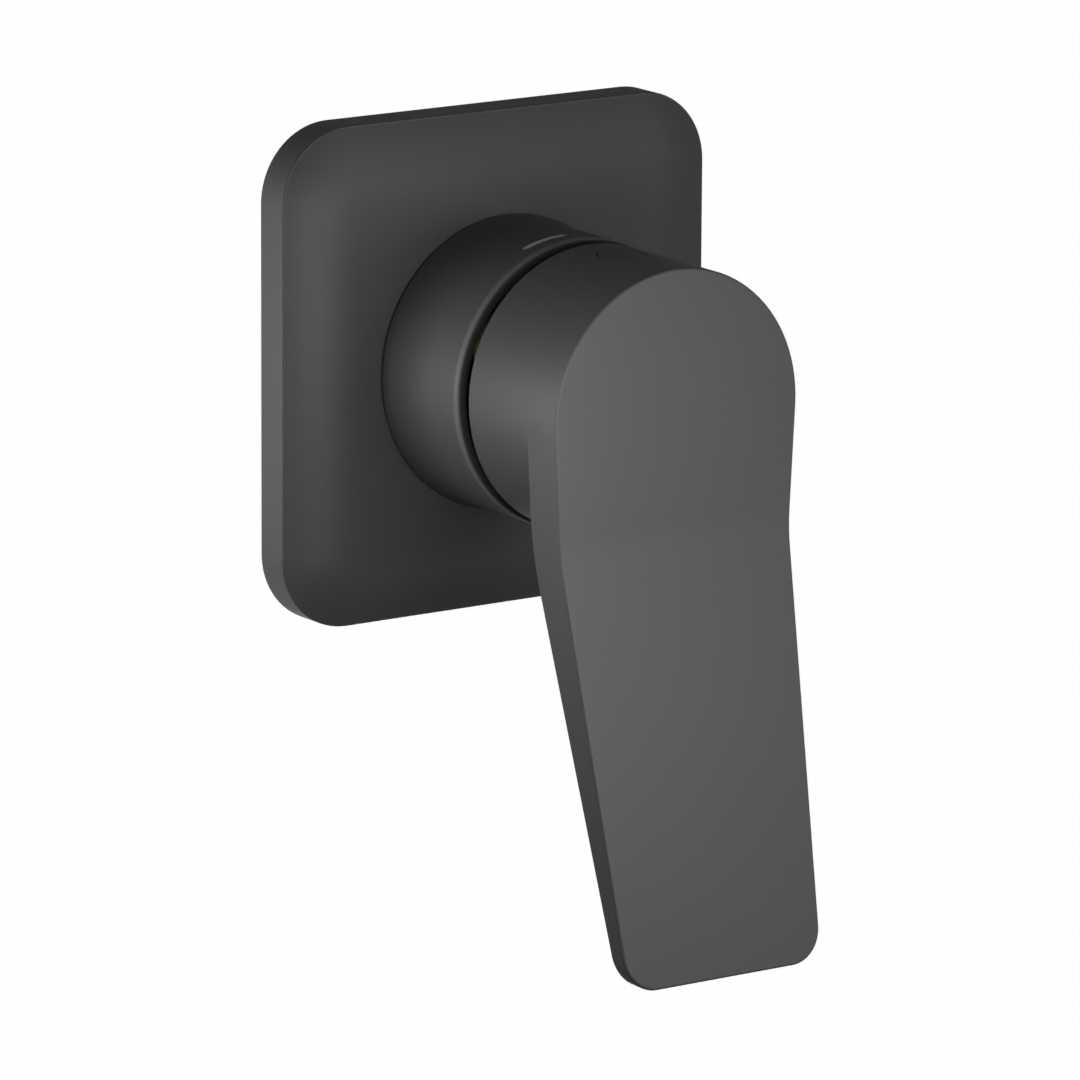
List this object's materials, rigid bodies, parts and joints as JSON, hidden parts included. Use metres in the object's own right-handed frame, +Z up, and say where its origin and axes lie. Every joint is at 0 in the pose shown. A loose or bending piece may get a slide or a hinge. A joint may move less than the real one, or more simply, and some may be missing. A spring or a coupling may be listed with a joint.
{
  "type": "concealed single-lever mixer",
  "caption": "Wall-mounted single-lever mixer: square cover plate, round sleeve, bent flat lever and the cartridge unit behind them. The lever turns for temperature and lifts for flow.",
  "frame": {"origin": "on the mixer's axis, in the plane of the wall, where the flange's back face and the plate's rim lie", "axes": "+Y into the wall along the mixer's axis, +Z up, -Y towards the user, +X to the right seen from the front"},
  "size_m": [0.078, 0.0927, 0.1234],
  "materials": {
    "plate_black": "matt black coating",
    "sleeve_black": "matt black coating",
    "lever_black": "matt black coating",
    "plug_black": "matt black moulding",
    "brass": "turned and cast",
    "steel": "plain",
    "housing_plastic": "moulded",
    "slider_plastic": "moulded",
    "ring_red": "moulded",
    "ceramic": "lapped",
    "seal_rubber": "moulded",
    "foam": "closed-cell foam"
  },
  "bodies": {
    "unit": {"valve_body": "brass", "cover_plate": "plate_black", "plate_gasket": "foam", "plate_o_ring": "seal_rubber", "sleeve": "sleeve_black", "retaining_nut": "brass", "housing": "housing_plastic", "fixed_disc": "ceramic", "disc_seals": "seal_rubber", "cartridge_base": "housing_plastic", "base_seals": "seal_rubber", "filter_washers": "seal_rubber", "fixing_screws": "steel"},
    "rotor": {"guide": "housing_plastic", "pivot_pin": "steel", "limit_ring": "ring_red"},
    "slide": {"slider": "slider_plastic", "moving_disc": "ceramic"},
    "handle": {"lever": "lever_black", "screw_plug": "plug_black", "grub_screw": "steel", "spindle": "brass"}
  },
  "joints": [
    {"name": "temperature_turn", "type": "hinge", "parent": "unit", "child": "rotor", "pos_m": [0, 0, 0], "axis": [0, 1, 0], "range_deg": [-45, 45]},
    {"name": "lever_lift", "type": "hinge", "parent": "rotor", "child": "handle", "pos_m": [0, -0.01302, 0], "axis": [-1, 0, 0], "range_deg": [0, 20]},
    {"name": "disc_slide", "type": "slide", "parent": "rotor", "child": "slide", "axis": [0, 0, -1], "range_m": [0, 0.00308]}
  ],
  "couplings": [
    {"joint": "disc_slide", "follows": "lever_lift", "m_per_rad": 0.00882}
  ]
}
